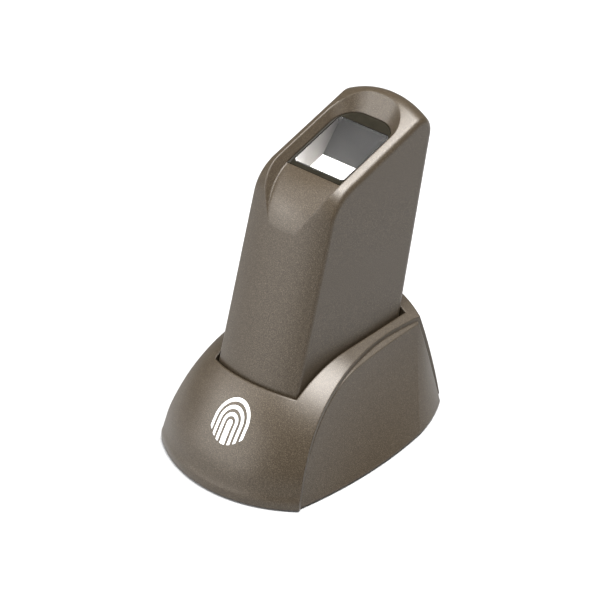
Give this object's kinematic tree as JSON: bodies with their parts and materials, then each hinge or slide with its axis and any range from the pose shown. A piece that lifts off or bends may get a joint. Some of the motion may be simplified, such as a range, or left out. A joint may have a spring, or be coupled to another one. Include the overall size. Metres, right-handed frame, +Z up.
{
  "type": "fingerprint scanner terminal",
  "caption": "Desktop fingerprint reader: slim leaning scanner body with a glass finger window, lifting out of a domed weighted stand.",
  "frame": {"origin": "on the table, under the middle of the stand's bounding box", "axes": "+Z up, +Y towards the back, +X to the right of a person facing the front; the scanner leans back towards +Y"},
  "size_m": [0.0538, 0.0758, 0.0864],
  "materials": {
    "metallic_paint": "fine metallic bronze-grey paint over ABS",
    "gloss_black": "glossy near-black",
    "black_rubber": "soft matt black",
    "prism_glass": "clear, finely coated",
    "black_plastic": "matt black moulding",
    "white_plastic": "white diffusing sheet",
    "circuit_board": "green solder mask",
    "led_lens": "clear moulded",
    "mirror_coat": "front silvered",
    "lens_glass": "polished",
    "chip_black": "moulded epoxy",
    "crystal_can": "bright can",
    "capacitor_can": "plain",
    "connector_white": "natural nylon",
    "flex_film": "amber film",
    "screw_steel": "zinc plated",
    "ballast_iron": "plain cast block"
  },
  "bodies": {
    "stand": {"stand_shell": "metallic_paint", "cradle_pocket": "black_plastic", "pocket_pads": "black_rubber", "ballast_weight": "ballast_iron", "base_plate": "black_plastic", "base_screws": "screw_steel", "ballast_screws": "screw_steel", "rubber_feet": "black_rubber"},
    "scanner": {"scanner_housing": "metallic_paint", "window_bezel": "gloss_black", "window_seal": "black_rubber", "cable_gland": "black_rubber", "platen_prism": "prism_glass", "aperture_plate": "black_plastic", "optic_chassis": "black_plastic", "lens_barrel": "black_plastic", "bottom_cap": "black_plastic", "light_diffuser": "white_plastic", "prism_side_plates": "white_plastic", "led_board": "circuit_board", "sensor_board": "circuit_board", "main_board": "circuit_board", "led_array": "led_lens", "fold_mirror": "mirror_coat", "lens_elements": "lens_glass", "light_filter": "lens_glass", "image_sensor": "chip_black", "usb_controller": "chip_black", "memory_chip": "chip_black", "clock_crystal": "crystal_can", "board_capacitors": "capacitor_can", "cable_connector": "connector_white", "sensor_flex": "flex_film", "cap_screws": "screw_steel", "board_screws": "screw_steel", "chassis_screws": "screw_steel"}
  },
  "joints": [
    {"name": "scanner_lift", "type": "slide", "parent": "stand", "child": "scanner", "axis": [0, 0.2462, 0.9692], "range_m": [0, 0.03]}
  ]
}
